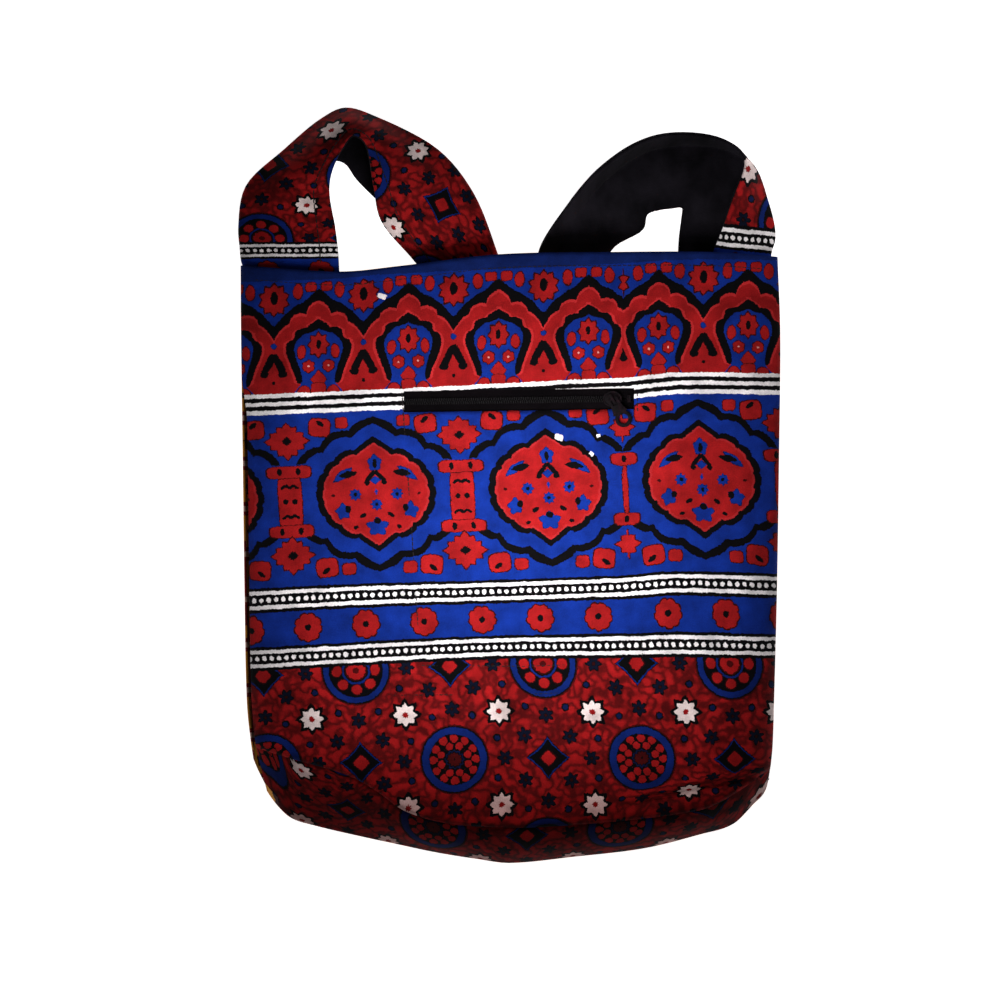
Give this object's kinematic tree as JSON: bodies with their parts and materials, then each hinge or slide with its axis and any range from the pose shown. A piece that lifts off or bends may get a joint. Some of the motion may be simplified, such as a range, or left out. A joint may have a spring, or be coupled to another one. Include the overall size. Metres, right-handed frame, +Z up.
{
  "type": "shoulder bag",
  "caption": "Block-printed cotton shoulder bag lying on its back, open at the mouth, with a wide lined strap tucked behind and a zip pocket across the front.",
  "frame": {"origin": "centre of the bounding box at floor level", "axes": "+Z up from the floor towards the front panel, +Y from the base towards the mouth and strap, +X across to the right as the front is seen"},
  "size_m": [0.3589, 0.5005, 0.041],
  "materials": {
    "printed_cotton": "block-printed red, indigo, black and white plain-weave cotton",
    "back_cotton": "orange and maroon printed cotton",
    "black_cotton": "plain black cotton",
    "zip_tape": "black woven tape",
    "zip_nylon": "black nylon coil",
    "zip_metal": "black enamelled zinc"
  },
  "bodies": {
    "bag": {"front_panel": "printed_cotton", "base_panel": "printed_cotton", "back_panel": "back_cotton", "strap_print": "printed_cotton", "strap_lining": "black_cotton", "zip_tape_upper": "zip_tape", "zip_tape_lower": "zip_tape", "zip_coil": "zip_nylon", "zip_slider": "zip_metal", "zip_stop": "zip_metal"},
    "pull": {"zip_pull": "zip_metal"}
  },
  "joints": [
    {"name": "pull_swing", "type": "hinge", "parent": "bag", "child": "pull", "pos_m": [0.06819, 0.05746, 0.02825], "axis": [-0.8746, -0.4848, 0], "range_deg": [0, 170]}
  ]
}
